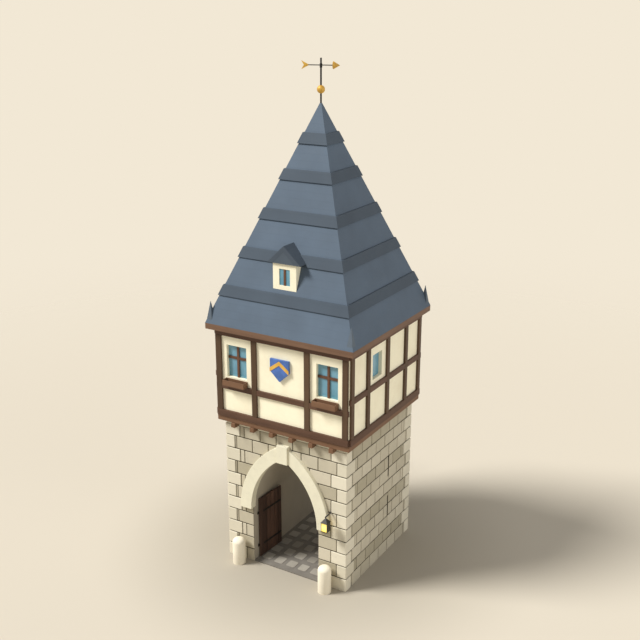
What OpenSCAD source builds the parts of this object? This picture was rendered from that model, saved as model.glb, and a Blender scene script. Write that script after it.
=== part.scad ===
// Town gatehouse: a square stone gate stage with a pointed tunnel vault, a jettied
// timber-framed storey and a steep pyramid roof with a dormer and a weathervane.
// Units are millimetres. +X runs along the front, the front faces -Y, +Z is up and
// the origin is on the ground at the middle of the plan.

/* [Stone gate stage] */
// Width and depth of the square stone stage
base_w = 5000; // [4500:50:6000]
// Height of the masonry above the keystones, up to the joists
crown_cover = 284; // [100:1:1200]
// Clear width of the arched passage
opening_w = 2800; // [2300:50:3200]
// Height of the arch springing
spring_z = 2250; // [2000:50:2500]
// Distance of each arc's centre beyond the middle line
arc_offset = 1300; // [900:50:1500]
// Thickness of the passage floor
passage_floor_t = 50; // [30:5:100]

/* [Arch rings] */
// Width of an arch ring, measured along its radius
ring_w = 470; // [300:10:520]
// How far an arch ring stands out from the wall
ring_proud = 150; // [60:10:200]
// How far an arch ring runs into the wall
ring_inset = 150; // [130:10:600]
// Width of a keystone
keystone_w = 440; // [300:10:560]
// How far a keystone rises above the point of its ring
keystone_rise = 5; // [5:5:40]
// How far a keystone hangs below the crossing of its sides and the vault
keystone_drop = 10; // [0:5:60]
// How far a keystone stands out from its ring
keystone_proud = 60; // [20:5:100]

/* [Arrow slits] */
// Width of a slit at the outer face
slit_w = 90; // [60:5:140]
// Height of a slit
slit_h = 860; // [600:10:1000]
// Sill heights of the slits in the right wall
slit_sills = [1500, 3155];
// Distance of the slits behind the middle of the wall
slit_y = 680; // [0:20:1200]
// Width of a slit's splay at the passage
slit_splay_w = 500; // [200:10:700]
// Depth of the narrow outer part of a slit
slit_neck = 250; // [100:10:400]

/* [Guard stones] */
// Radius of a guard stone
guard_r = 240; // [180:5:280]
// Full height of a guard stone
guard_h = 1050; // [800:10:1200]
// Distance of the guard stones' middles beyond the passage walls
guard_out = 450; // [350:10:600]
// Gap between a guard stone and the wall
guard_gap = 120; // [60:5:200]

/* [Gate leaves] */
// Height of a gate leaf's top above the springing
leaf_rise = 240; // [0:5:260]
// Thickness of a gate leaf
leaf_t = 48; // [36:2:60]
// Gap below a gate leaf
leaf_floor_gap = 25; // [15:1:60]
// Gap between the two closed leaves
leaf_meeting_gap = 12; // [10:1:30]
// Gap between a hinge pin and the boards
leaf_heel_gap = 40; // [32:1:60]
// Distance of the hinge pins behind the wall face
pin_setback = 235; // [200:5:280]
// Distance of a hinge pin from the passage wall
pin_standoff = 30; // [28:1:40]
// Radius of a hinge pin
pin_r = 10; // [8:1:11]
// Clearance round a hinge pin
pin_clearance = 2; // [1:0.5:3]
// Angle of the leaves off the passage walls as they stand
leaf_rest_deg = 4; // [3:1:20]
// Distance of a strap hinge's end from the edge of its leaf
strap_short = 114; // [20:1:600]
// Distance of the outer face's iron bands from the hinge pin
band_start = 250; // [100:10:500]
// Height of a strap or band
strap_h = 75; // [40:5:90]
// Thickness of a strap or band
strap_t = 8; // [6:1:12]
// Heights of the straps and bands above the foot of the leaf
strap_heights = [435, 1800];

/* [Wall lantern] */
// Distance of the lantern's arm beyond the arch ring
lantern_gap = 50; // [50:5:330]
// Height of the lantern's arm
lantern_arm_z = 3030; // [2700:10:3300]
// Reach of the arm from the wall
lantern_reach = 400; // [330:5:500]
// Width of the lantern
lantern_w = 240; // [180:5:300]
// Height of the lantern's panes
lantern_pane_h = 320; // [240:5:400]

/* [Jetty] */
// How far the jetty stands out from the stone stage
jetty_out = 220; // [150:10:350]
// Height of the jetty beams
jetty_beam_h = 210; // [180:10:360]
// Width of a floor joist
joist_w = 170; // [120:5:220]
// Height of a floor joist
joist_h = 170; // [120:5:220]
// How far the joists stand out from the jetty beams
joist_out = 50; // [0:5:100]
// Number of floor joists
joist_count = 6; // [4:1:8]
// Thickness of the upper floor
floor_t = 140; // [80:5:160]

/* [Timber-framed storey] */
// Height of the storey walls above the jetty beams
storey_h = 3285; // [3100:5:3800]
// Thickness of the storey walls
storey_wall_t = 160; // [140:5:240]
// How far the wall face stands back from the jetty beams
storey_setback = 30; // [20:5:120]
// How far the timbers stand out from the plaster
timber_proud = 80; // [20:5:100]
// Width of a post
post_w = 200; // [160:5:280]
// Distance of a corner post from the corner of the walls
corner_gap = 30; // [0:5:60]
// Height of the sill board
sill_h = 240; // [140:5:260]
// Height of the top plate
plate_h = 210; // [160:5:260]
// Height of a middle rail
rail_h = 200; // [160:5:260]
// Distance of the front's inner posts from the middle
front_post_x = 1075; // [950:5:1200]
// Distance of the side's inner posts from the middle
side_post_y = 1440; // [1300:10:1600]
// Height of the front and back rails above the jetty beams
front_rail_z = 1080; // [950:5:1150]
// Height of the side rails above the jetty beams
side_rail_z = 1480; // [1350:5:1550]

/* [Windows] */
// Width of a front or back window
window_w = 840; // [600:10:900]
// Height of a front or back window
window_h = 1200; // [900:10:1250]
// Sill height of a front or back window above the jetty beams
window_sill = 1540; // [1520:5:1600]
// Distance of a front or back window from the middle
window_x = 1840; // [1780:10:1900]
// Width of a side window
side_window_w = 680; // [400:10:800]
// Height of a side window
side_window_h = 900; // [600:10:1000]
// Sill height of a side window above the jetty beams
side_window_sill = 1840; // [1780:5:1950]
// Distance of the glass from the walls' inner faces
glass_inset = 20; // [0:5:90]
// Thickness of the window glass
glass_t = 10; // [6:1:16]

/* [Flower boxes] */
// Length of a flower box
box_w = 910; // [700:10:1000]
// How far a flower box stands out from the wall
box_out = 270; // [220:5:380]
// Height of a flower box
box_h = 210; // [150:5:230]
// Thickness of a flower box's boards
box_board_t = 25; // [15:1:35]

/* [Shield] */
// Width of the shield
shield_w = 765; // [500:5:900]
// Height of the shield's straight sides
shield_side_h = 450; // [300:10:500]
// Height of the shield's point
shield_point_h = 360; // [250:10:450]
// Thickness of the shield
shield_t = 90; // [40:5:100]
// Height of the shield's point above the jetty beams
shield_z = 1800; // [1500:10:2000]
// Height of the chevron's band
chevron_h = 150; // [100:5:200]
// Thickness of the chevron
chevron_t = 14; // [8:1:25]

/* [Roof] */
// Overhang of the eaves beyond the storey walls
eaves_out = 270; // [200:10:450]
// Height of the eaves beams
eaves_h = 215; // [150:5:260]
// Height of the roof from the eaves beams to its point
roof_h = 7510; // [5500:50:9000]
// Thickness of the roof, measured upright
roof_t = 330; // [250:10:400]
// Thickness of the attic floor
attic_floor_t = 120; // [80:5:150]
// Number of raised slate bands
band_count = 5; // [3:1:5]
// Height of the lowest band above the eaves beams
band_z = 985; // [800:5:1100]
// Distance from the foot of the topmost band to the roof's point
top_band_gap = 1390; // [1200:10:1800]
// How much closer the topmost band is to its neighbour than the others are
top_band_shift = 120; // [0:10:200]
// Height of a band
band_h = 365; // [250:5:400]
// How far a band stands out from the roof
band_proud = 50; // [40:5:90]
// Distance of a corner spike from the middle, along each side
spike_in = 160; // [140:10:240]
// Width of a corner spike at the eaves
spike_w = 260; // [200:10:300]
// Height of a corner spike above the eaves
spike_h = 810; // [600:10:1000]

/* [Dormer] */
// Width of the dormer's walls
dormer_w = 920; // [800:10:1100]
// How far the dormer's face stands out from the roof, at the window's sill
dormer_out = 59; // [20:1:150]
// Height of the dormer's wall plates above the eaves beams
dormer_plate_z = 2395; // [2300:5:2600]
// Thickness of the dormer's walls
dormer_wall_t = 90; // [70:5:120]
// Width of the dormer's window
dormer_window_w = 430; // [300:10:500]
// Height of the dormer's window
dormer_window_h = 570; // [400:10:600]
// Distance of the dormer's window below the wall plates
dormer_window_top = 190; // [120:5:240]
// Overhang of the dormer's roof at the sides
dormer_eaves = 200; // [150:5:240]
// Overhang of the dormer's roof at the front
dormer_verge = 60; // [40:2:120]
// Height of the dormer's gable
dormer_gable_h = 615; // [550:5:800]
// How far the dormer's roof bears on its walls
dormer_bearing = 30; // [10:5:60]

/* [Weathervane] */
// Radius of the vane rod
rod_r = 30; // [22:1:40]
// Height of the rod's top above the roof's point
rod_h = 1390; // [1200:10:1600]
// Radius of the ball
ball_r = 137; // [100:1:170]
// Height of the ball's centre above the roof's point
ball_z = 370; // [320:5:500]
// Height of the arrow above the roof's point
arrow_z = 1155; // [1000:5:1250]
// Length of the arrow from tail to tip
arrow_l = 1340; // [1000:10:1600]
// Clearance between the arrow's hub and the rod
hub_clearance = 2; // [1:0.5:4]
// Direction of the arrow in plan
arrow_deg = 15; // [0:5:355]

/* [Hidden] */
$fn = 64;
eps = 1;

base = base_w / 2;
opening = opening_w / 2;
arc_r = opening + arc_offset;
keystone_top = spring_z + sqrt(pow(arc_r + ring_w, 2) - pow(arc_offset, 2)) + keystone_rise;
masonry_h = round(keystone_top + crown_cover);
jetty_z = masonry_h + joist_h;
beam_outer = base + jetty_out;
storey_z = jetty_z + jetty_beam_h;
wall_outer = beam_outer - storey_setback;
wall_inner = wall_outer - storey_wall_t;
timber_outer = wall_outer + timber_proud;
eaves_z = storey_z + storey_h;
roof_z = eaves_z + eaves_h;
eaves = wall_outer + eaves_out;
roof_slope = roof_h / eaves;
roof_top = roof_z + roof_h;
band_pitch = (roof_h - top_band_gap + top_band_shift - band_z) / (band_count - 1);
bearing = storey_wall_t / 2;
glass_setback = storey_wall_t - glass_t - glass_inset;

leaf_z = passage_floor_t + leaf_floor_gap;
leaf_h = spring_z + leaf_rise - leaf_z;
leaf_len = opening - pin_standoff - leaf_meeting_gap / 2;
strap_len = leaf_len - strap_short;
pin_x = -(opening - pin_standoff);
pin_y = -(base - pin_setback);
eye_r = 2 * pin_r;
pin_arm_h = 14;

keystone_half = keystone_w / 2;
crown_z = spring_z + sqrt(pow(arc_r, 2) - pow(arc_offset + keystone_half, 2));
keystone_z = crown_z - keystone_drop;

dormer_plate = roof_z + dormer_plate_z;
dormer_half = dormer_w / 2;
dormer_roof_half = dormer_half + dormer_eaves;
dormer_sill = dormer_plate - dormer_window_top - dormer_window_h;
dormer_y = -round(roof_half(dormer_sill) + dormer_out);
dormer_inner_half = dormer_half - dormer_bearing;
dormer_inner_h = dormer_gable_h * dormer_inner_half / dormer_roof_half;

hub_r = rod_r + hub_clearance + 12;
hub_h = 110;
arrow_rod_r = 16;
arrow_head_l = 230;
arrow_head_r = 130;
arrow_tail_l = 250;
arrow_tail_h = 290;
arrow_tail_notch = 90;

stone = [0.86, 0.81, 0.69];
pale_stone = [0.94, 0.89, 0.77];
cobble = [0.42, 0.40, 0.37];
dark_oak = [0.30, 0.22, 0.16];
red_oak = [0.48, 0.32, 0.24];
gate_oak = [0.22, 0.14, 0.11];
plaster = [0.97, 0.93, 0.80];
iron = [0.17, 0.16, 0.15];
window_blue = [0.40, 0.58, 0.65];
lamp_yellow = [1.0, 0.86, 0.35];
slate = [0.40, 0.45, 0.50];
slate_dark = [0.34, 0.38, 0.43];
gilt = [0.85, 0.66, 0.22];
heraldic_blue = [0.26, 0.38, 0.66];

// ---------------------------------------------------------------- helpers

// A box given by its two opposite corners.
module block(low, high) {
    translate(low) cube(high - low);
}

// The children and their mirror image in the plane x = 0.
module both_sides() {
    children();
    mirror([1, 0, 0]) children();
}

// The children and their mirror image in the plane y = 0.
module front_and_back() {
    children();
    mirror([0, 1, 0]) children();
}

// A profile drawn in X and Z, extruded along Y from y0 to y1.
module along_y(y0, y1) {
    translate([0, y1, 0]) rotate([90, 0, 0]) linear_extrude(height = y1 - y0) children();
}

// A profile drawn in Y and Z, extruded along X from x0 to x1.
module along_x(x0, x1) {
    translate([x0, 0, 0]) rotate([90, 0, 90]) linear_extrude(height = x1 - x0) children();
}

// A square frustum or pyramid about the Z axis with sides of the roof's slope.
// half is its half width at z0; it is cut off level at z1.
module hipped(half, z0, z1) {
    top = half - (z1 - z0) / roof_slope;
    outline = [[-half, z0], [half, z0], [top, z1], [-top, z1]];
    intersection() {
        along_y(-half - eps, half + eps) polygon(outline);
        along_x(-half - eps, half + eps) polygon(outline);
    }
}

// Half width of the roof's outer face at height z.
function roof_half(z) = eaves - (z - roof_z) / roof_slope;

// All the space under the roof's outer faces, from just below the eaves.
module under_roof() {
    hipped(eaves, roof_z, roof_tip);
    block([-eaves, -eaves, roof_z - eps], [eaves, eaves, roof_z]);
}

// ---------------------------------------------------------------- stone stage

// The pointed outline between the springing and the crown, grown by extra.
module arch_outline(extra) {
    intersection() {
        translate([arc_offset, spring_z]) circle(r = arc_r + extra, $fn = 360);
        translate([-arc_offset, spring_z]) circle(r = arc_r + extra, $fn = 360);
        translate([-base, spring_z]) square([base_w, masonry_h]);
    }
}

// The slits of the right side wall, narrow outside and splayed towards the passage.
module slit_cuts() {
    for (sill = slit_sills)
        translate([0, slit_y, sill]) linear_extrude(height = slit_h)
            polygon([
                [base + eps, -slit_w / 2], [base + eps, slit_w / 2],
                [base - slit_neck, slit_w / 2], [opening, slit_splay_w / 2],
                [0, slit_splay_w / 2], [0, -slit_splay_w / 2],
                [opening, -slit_splay_w / 2], [base - slit_neck, -slit_w / 2],
            ]);
}

// The front wall: a thick plate with the arched opening, grown to seat the ring.
module front_stage_wall() {
    color(stone) difference() {
        block([-base, -base, 0], [base, -base + ring_inset, masonry_h]);
        along_y(-base - eps, -base + ring_inset + eps) {
            arch_outline(ring_w);
            translate([-opening, -eps]) square([opening_w, spring_z + eps]);
        }
        keystone_block();
    }
}

module back_stage_wall() {
    mirror([0, 1, 0]) front_stage_wall();
}

// A side wall between the front and the back wall.
module side_stage_wall() {
    block([opening, -base + ring_inset, 0], [base, base - ring_inset, masonry_h]);
}

module right_stage_wall() {
    color(stone) difference() {
        side_stage_wall();
        slit_cuts();
    }
}

module left_stage_wall() {
    color(stone) mirror([1, 0, 0]) side_stage_wall();
}

// The pointed barrel vault between the side walls, from the springing to the joists.
module passage_vault() {
    color(stone) difference() {
        block([-opening, -base + ring_inset, spring_z], [opening, base - ring_inset, masonry_h]);
        along_y(-base, base) arch_outline(0);
        slit_cuts();
    }
}

// The stone between and beside the joists, up to the jetty.
module beam_filling() {
    color(stone) difference() {
        block([-base, -base, masonry_h], [base, base, jetty_z]);
        joist_row(base + eps);
    }
}

module arch_ring() {
    difference() {
        along_y(-base - ring_proud, -base + ring_inset) difference() {
            arch_outline(ring_w);
            arch_outline(0);
        }
        keystone_block();
    }
}

module arch_rings() {
    color(pale_stone) front_and_back() arch_ring();
}

module keystone_block() {
    block([-keystone_half, -base - ring_proud - keystone_proud, keystone_z],
          [keystone_half, -base + ring_inset, keystone_top]);
}

module keystones() {
    color(pale_stone) front_and_back() keystone_block();
}

module passage_floor() {
    color(cobble) block([-opening, -base, 0], [opening, base, passage_floor_t]);
}

// A round stone post with a domed top.
module guard_stone() {
    dome = guard_r * 0.75;
    rotate_extrude() intersection() {
        union() {
            square([guard_r, guard_h - dome]);
            translate([0, guard_h - dome]) scale([1, dome / guard_r]) circle(r = guard_r);
        }
        square([guard_r, guard_h]);
    }
}

module guard_stones() {
    color(pale_stone) front_and_back() both_sides()
        translate([opening + guard_out, -(base + guard_gap + guard_r), 0]) guard_stone();
}

// ---------------------------------------------------------------- gate

// The left gate leaf's own frame: the pin's axis is Z and the leaf runs along +Y,
// with its inner face towards the passage wall and its outer face towards +X.
module left_leaf_place() {
    translate([pin_x, pin_y, leaf_z]) rotate([0, 0, -leaf_rest_deg]) children();
}

module leaf_boards() {
    color(gate_oak)
        block([strap_t / 2, leaf_heel_gap, 0], [strap_t / 2 + leaf_t, leaf_len, leaf_h]);
}

// A strap on the inner face, with an eye that turns on the pin.
module strap() {
    difference() {
        union() {
            cylinder(r = eye_r, h = strap_h);
            block([-strap_t / 2, 0, 0], [strap_t / 2, strap_len, strap_h]);
        }
        translate([0, 0, -eps]) cylinder(r = pin_r + pin_clearance, h = strap_h + 2 * eps);
    }
}

// A band on the outer face, opposite the strap and bolted through to it.
module outer_band() {
    face = strap_t / 2 + leaf_t;
    block([face, band_start, 0], [face + strap_t, leaf_len - 2 * leaf_meeting_gap, strap_h]);
}

module leaf_ironwork() {
    color(iron) for (z = strap_heights) translate([0, 0, z]) {
        strap();
        outer_band();
    }
}

module left_gate_leaf() {
    left_leaf_place() leaf_boards();
}

module left_gate_ironwork() {
    left_leaf_place() leaf_ironwork();
}

module right_gate_leaf() {
    mirror([1, 0, 0]) left_gate_leaf();
}

module right_gate_ironwork() {
    mirror([1, 0, 0]) left_gate_ironwork();
}

// An iron arm from the passage wall with an upright pin, under each strap's eye.
module gate_pintles() {
    pin_h = strap_h + 30;
    color(iron) both_sides() for (z = strap_heights)
        translate([pin_x, pin_y, leaf_z + z - pin_clearance - pin_arm_h]) {
            block([-pin_standoff, -pin_r - 4, 0], [0, pin_r + 4, pin_arm_h]);
            cylinder(r = pin_r + 4, h = pin_arm_h);
            cylinder(r = pin_r, h = pin_arm_h + pin_h);
        }
}

// ---------------------------------------------------------------- lantern

lantern_rail = 14;
lantern_sheet = 8;
lantern_base_h = 30;
lantern_cap_h = 180;
lantern_neck_h = 20;
lantern_arm_r = 25;
lantern_top = lantern_arm_z - lantern_arm_r;
lantern_pane_z = lantern_top - lantern_cap_h - lantern_pane_h;

lantern_x = opening + ring_w + lantern_gap;

module lantern_place() {
    translate([lantern_x, -(base + lantern_reach), 0]) children();
}

// The wall plate and the arm that the lantern hangs from.
module lantern_bracket() {
    plate_w = 90;
    color(iron) {
        translate([lantern_x, -base, lantern_arm_z]) rotate([90, 0, 0])
            cylinder(r = lantern_arm_r, h = lantern_reach + 25);
        block([lantern_x - plate_w / 2, -base - 12, lantern_arm_z - plate_w / 2],
              [lantern_x + plate_w / 2, -base, lantern_arm_z + plate_w / 2]);
    }
}

// The lantern's base, sheet sides and pyramid cap, with a neck up to the arm.
module lantern_frame() {
    half = lantern_w / 2;
    bar = half - lantern_rail;
    room = half - lantern_sheet;
    pane_top = lantern_pane_z + lantern_pane_h;
    cap_half = half + 20;
    neck = 14;
    cap_rise = lantern_cap_h - lantern_neck_h;
    cap = [[-cap_half, 0], [cap_half, 0], [neck, cap_rise],
           [neck, lantern_cap_h], [-neck, lantern_cap_h], [-neck, cap_rise]];
    color(iron) lantern_place() {
        difference() {
            block([-half, -half, lantern_pane_z - lantern_base_h], [half, half, pane_top]);
            block([-room, -bar, lantern_pane_z], [room, bar, pane_top + eps]);
            block([-bar, -half - eps, lantern_pane_z], [bar, half + eps, pane_top + eps]);
        }
        translate([0, 0, pane_top]) intersection() {
            along_y(-cap_half - eps, cap_half + eps) polygon(cap);
            along_x(-cap_half - eps, cap_half + eps) polygon(cap);
        }
    }
}

// The front and back panes between the corner bars.
module lantern_panes() {
    half = lantern_w / 2;
    bar = half - lantern_rail;
    color(lamp_yellow) lantern_place() for (turn = [0, 180]) rotate([0, 0, turn])
        block([-bar, -half + 6, lantern_pane_z], [bar, -half + 12, lantern_pane_z + lantern_pane_h]);
}

// ---------------------------------------------------------------- jetty

joist_pitch = 2 * (base - 470) / (joist_count - 1);

// The joists, from front to back, reaching reach from the middle.
module joist_row(reach) {
    for (i = [0 : joist_count - 1]) {
        x = (i - (joist_count - 1) / 2) * joist_pitch;
        block([x - joist_w / 2, -reach, masonry_h], [x + joist_w / 2, reach, jetty_z]);
    }
}

module floor_joists() {
    color(red_oak) joist_row(beam_outer + joist_out);
}

// The heavy beams round the edge of the jetty that carry the storey.
module jetty_beams() {
    color(red_oak) difference() {
        block([-beam_outer, -beam_outer, jetty_z], [beam_outer, beam_outer, storey_z]);
        block([-wall_inner, -wall_inner, jetty_z - eps], [wall_inner, wall_inner, storey_z + eps]);
    }
}

module upper_floor() {
    color(dark_oak)
        block([-wall_inner, -wall_inner, jetty_z], [wall_inner, wall_inner, jetty_z + floor_t]);
}

// ---------------------------------------------------------------- storey

// The two window openings of the front wall.
module front_window_cuts() {
    both_sides()
        block([window_x - window_w / 2, -wall_outer - eps, storey_z + window_sill],
              [window_x + window_w / 2, -wall_inner + eps, storey_z + window_sill + window_h]);
}

side_window_y = -side_post_y / 2;

// The window opening of the right wall.
module side_window_cut() {
    block([wall_inner - eps, side_window_y - side_window_w / 2, storey_z + side_window_sill],
          [wall_outer + eps, side_window_y + side_window_w / 2,
           storey_z + side_window_sill + side_window_h]);
}

module front_storey_wall() {
    color(plaster) difference() {
        block([-wall_outer, -wall_outer, storey_z], [wall_outer, -wall_inner, eaves_z]);
        front_window_cuts();
    }
}

module back_storey_wall() {
    mirror([0, 1, 0]) front_storey_wall();
}

module right_storey_wall() {
    color(plaster) difference() {
        block([wall_inner, -wall_inner, storey_z], [wall_outer, wall_inner, eaves_z]);
        side_window_cut();
    }
}

module left_storey_wall() {
    mirror([1, 0, 0]) right_storey_wall();
}

// A flat frame on the front face: sill, plate, rail and posts at the given places.
module timber_frame(posts, rail_z) {
    color(dark_oak) translate([0, -timber_outer, storey_z]) {
        block([-wall_outer, 0, 0], [wall_outer, timber_proud, sill_h]);
        block([-wall_outer, 0, storey_h - plate_h], [wall_outer, timber_proud, storey_h]);
        block([-wall_outer, 0, rail_z], [wall_outer, timber_proud, rail_z + rail_h]);
        for (x = posts)
            block([x - post_w / 2, 0, 0], [x + post_w / 2, timber_proud, storey_h]);
    }
}

corner_post = wall_outer - corner_gap - post_w / 2;
front_posts = [-corner_post, -front_post_x, front_post_x, corner_post];
side_posts = [-corner_post, -side_post_y, 0, side_post_y, corner_post];

module front_timbers() {
    timber_frame(front_posts, front_rail_z);
}

module back_timbers() {
    mirror([0, 1, 0]) front_timbers();
}

module right_timbers() {
    rotate([0, 0, 90]) timber_frame(side_posts, side_rail_z);
}

module left_timbers() {
    mirror([1, 0, 0]) right_timbers();
}

// The panes of the storey's windows and of the dormer.
module window_glass() {
    glass_y = -wall_outer + glass_setback;
    dormer_glass_y = dormer_y + 0.3 * dormer_wall_t;
    color(window_blue) {
        front_and_back() both_sides()
            block([window_x - window_w / 2, glass_y, storey_z + window_sill],
                  [window_x + window_w / 2, glass_y + glass_t, storey_z + window_sill + window_h]);
        both_sides()
            block([-glass_y - glass_t, side_window_y - side_window_w / 2,
                   storey_z + side_window_sill],
                  [-glass_y, side_window_y + side_window_w / 2,
                   storey_z + side_window_sill + side_window_h]);
        block([-dormer_window_w / 2, dormer_glass_y, dormer_sill],
              [dormer_window_w / 2, dormer_glass_y + glass_t, dormer_sill + dormer_window_h]);
    }
}

// Open boxes that rest on the front rail below the windows.
module flower_boxes() {
    z = storey_z + front_rail_z + rail_h;
    color(red_oak) both_sides() translate([window_x, -wall_outer, z]) difference() {
        block([-box_w / 2, -box_out, 0], [box_w / 2, 0, box_h]);
        block([-box_w / 2 + box_board_t, -box_out + box_board_t, box_board_t],
              [box_w / 2 - box_board_t, -box_board_t, box_h + eps]);
    }
}

module shield_outline() {
    half = shield_w / 2;
    polygon([[0, 0], [half, shield_point_h], [half, shield_point_h + shield_side_h],
             [-half, shield_point_h + shield_side_h], [-half, shield_point_h]]);
}

module shield_plaque() {
    color(heraldic_blue) translate([0, 0, storey_z + shield_z])
        along_y(-wall_outer - shield_t, -wall_outer) shield_outline();
}

// A raised band bent to a point, cut to the shield's outline.
module shield_chevron() {
    half = shield_w / 2;
    foot = shield_point_h - 30;
    rise = 280;
    color(gilt) translate([0, 0, storey_z + shield_z])
        along_y(-wall_outer - shield_t - chevron_t, -wall_outer - shield_t) intersection() {
            shield_outline();
            polygon([[-half, foot], [0, foot + rise], [half, foot],
                     [half, foot + chevron_h], [0, foot + rise + chevron_h],
                     [-half, foot + chevron_h]]);
        }
}

// ---------------------------------------------------------------- roof

module eaves_beams() {
    inner = wall_outer - bearing;
    color(red_oak) difference() {
        block([-eaves, -eaves, eaves_z], [eaves, eaves, roof_z]);
        block([-inner, -inner, eaves_z - eps], [inner, inner, roof_z + eps]);
    }
}

module attic_floor() {
    inner = wall_outer - bearing;
    color(dark_oak) block([-inner, -inner, eaves_z], [inner, inner, eaves_z + attic_floor_t]);
}

roof_tip = roof_top - rod_r * roof_slope;

// The whole roof as one shell, cut level at the tip to seat the vane rod.
module roof_shell() {
    difference() {
        hipped(eaves, roof_z, roof_tip);
        hipped(eaves - roof_t / roof_slope, roof_z - eps, roof_top - roof_t - 2 * rod_r);
    }
}

// The front quarter of the shell, mitred along its hips.
module plain_slope() {
    reach = eaves + 100;
    intersection() {
        roof_shell();
        translate([0, 0, roof_z - eps]) linear_extrude(height = roof_h + 2 * eps)
            polygon([[0, 0], [-reach, -reach], [reach, -reach]]);
    }
}

// The room inside the dormer, as far back as the roof space.
module dormer_void() {
    half = dormer_half - dormer_wall_t;
    block([-half, dormer_y + dormer_wall_t, roof_z + attic_floor_t],
          [half, -roof_half(dormer_plate), dormer_plate]);
}

module front_roof_slope() {
    color(slate) difference() {
        plain_slope();
        dormer_void();
    }
}

module back_roof_slope() {
    color(slate) rotate([0, 0, 180]) plain_slope();
}

module left_roof_slope() {
    color(slate) rotate([0, 0, -90]) plain_slope();
}

module right_roof_slope() {
    color(slate) rotate([0, 0, 90]) plain_slope();
}

// One raised course of slates all round the roof.
module band(z) {
    outer = roof_half(z) + band_proud;
    difference() {
        hipped(outer, z, z + band_h);
        under_roof();
    }
}

module slate_bands() {
    color(slate_dark) difference() {
        union() {
            for (i = [0 : band_count - 2]) band(roof_z + band_z + i * band_pitch);
            band(roof_top - top_band_gap);
        }
        dormer_envelope();
    }
}

module corner_spikes() {
    place = eaves - spike_in;
    color(slate_dark) difference() {
        for (turn = [0, 90, 180, 270]) rotate([0, 0, turn]) translate([place, -place, roof_z])
            rotate([0, 0, 45])
                cylinder(r1 = spike_w / sqrt(2), r2 = 0, h = spike_h, $fn = 4);
        under_roof();
    }
}

// ---------------------------------------------------------------- dormer

module dormer_gable_outline(half, rise) {
    polygon([[-half, 0], [half, 0], [0, rise]]);
}

// Everything that the dormer takes out of the bands.
module dormer_envelope() {
    block([-dormer_half, dormer_y, roof_z], [dormer_half, 0, dormer_plate]);
    translate([0, 0, dormer_plate]) along_y(dormer_y - dormer_verge, 0)
        dormer_gable_outline(dormer_roof_half, dormer_gable_h);
}

module dormer_walls() {
    half = dormer_half - dormer_wall_t;
    color(plaster) difference() {
        block([-dormer_half, dormer_y, roof_z], [dormer_half, 0, dormer_plate]);
        block([-half, dormer_y + dormer_wall_t, roof_z - eps], [half, eps, dormer_plate + eps]);
        block([-dormer_window_w / 2, dormer_y - eps, dormer_sill],
              [dormer_window_w / 2, dormer_y + dormer_wall_t + eps, dormer_sill + dormer_window_h]);
        under_roof();
    }
}

module dormer_roof() {
    color(slate_dark) difference() {
        translate([0, 0, dormer_plate]) along_y(dormer_y - dormer_verge, 0) difference() {
            dormer_gable_outline(dormer_roof_half, dormer_gable_h);
            dormer_gable_outline(dormer_inner_half, dormer_inner_h);
        }
        under_roof();
    }
}

module dormer_gable() {
    color(slate_dark) translate([0, 0, dormer_plate])
        along_y(dormer_y - dormer_verge, dormer_y)
            dormer_gable_outline(dormer_inner_half, dormer_inner_h);
}

// ---------------------------------------------------------------- weathervane

// The rod stands on the roof's tip. A collar carries the arrow's hub.
module vane_rod() {
    collar_h = 24;
    color(iron) difference() {
        union() {
            translate([0, 0, roof_tip]) cylinder(r = rod_r, h = roof_top + rod_h - roof_tip);
            translate([0, 0, roof_top + arrow_z - hub_h / 2 - hub_clearance - collar_h])
                cylinder(r = hub_r, h = collar_h);
        }
        translate([0, 0, roof_top + ball_z]) sphere(r = ball_r);
    }
}

module vane_ball() {
    color(gilt) translate([0, 0, roof_top + ball_z]) sphere(r = ball_r);
}

module arrow_place() {
    translate([0, 0, roof_top + arrow_z]) rotate([0, 0, arrow_deg]) children();
}

arrow_tail_x = -0.51 * arrow_l;
arrow_head_x = arrow_tail_x + arrow_l - arrow_head_l;
arrow_tail_root = arrow_tail_x + arrow_tail_l;

// The hub, the shaft and the arrow's rod.
module vane_arrow() {
    color(iron) arrow_place() difference() {
        union() {
            translate([0, 0, -hub_h / 2]) cylinder(r = hub_r, h = hub_h);
            translate([arrow_tail_root, 0, 0]) rotate([0, 90, 0])
                cylinder(r = arrow_rod_r, h = arrow_head_x - arrow_tail_root);
        }
        translate([0, 0, -hub_h]) cylinder(r = rod_r + hub_clearance, h = 2 * hub_h);
    }
}

// The gilded head, a cone, and the gilded tail, a swept plate.
module vane_gilding() {
    tail_t = 16;
    color(gilt) arrow_place() {
        translate([arrow_head_x, 0, 0]) rotate([0, 90, 0])
            cylinder(r1 = arrow_head_r, r2 = 0, h = arrow_head_l);
        along_y(-tail_t / 2, tail_t / 2)
            polygon([
                [arrow_tail_root, -arrow_rod_r], [arrow_tail_root, arrow_rod_r],
                [arrow_tail_x, arrow_tail_h / 2], [arrow_tail_x + arrow_tail_notch, 0],
                [arrow_tail_x, -arrow_tail_h / 2],
            ]);
    }
}

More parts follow.
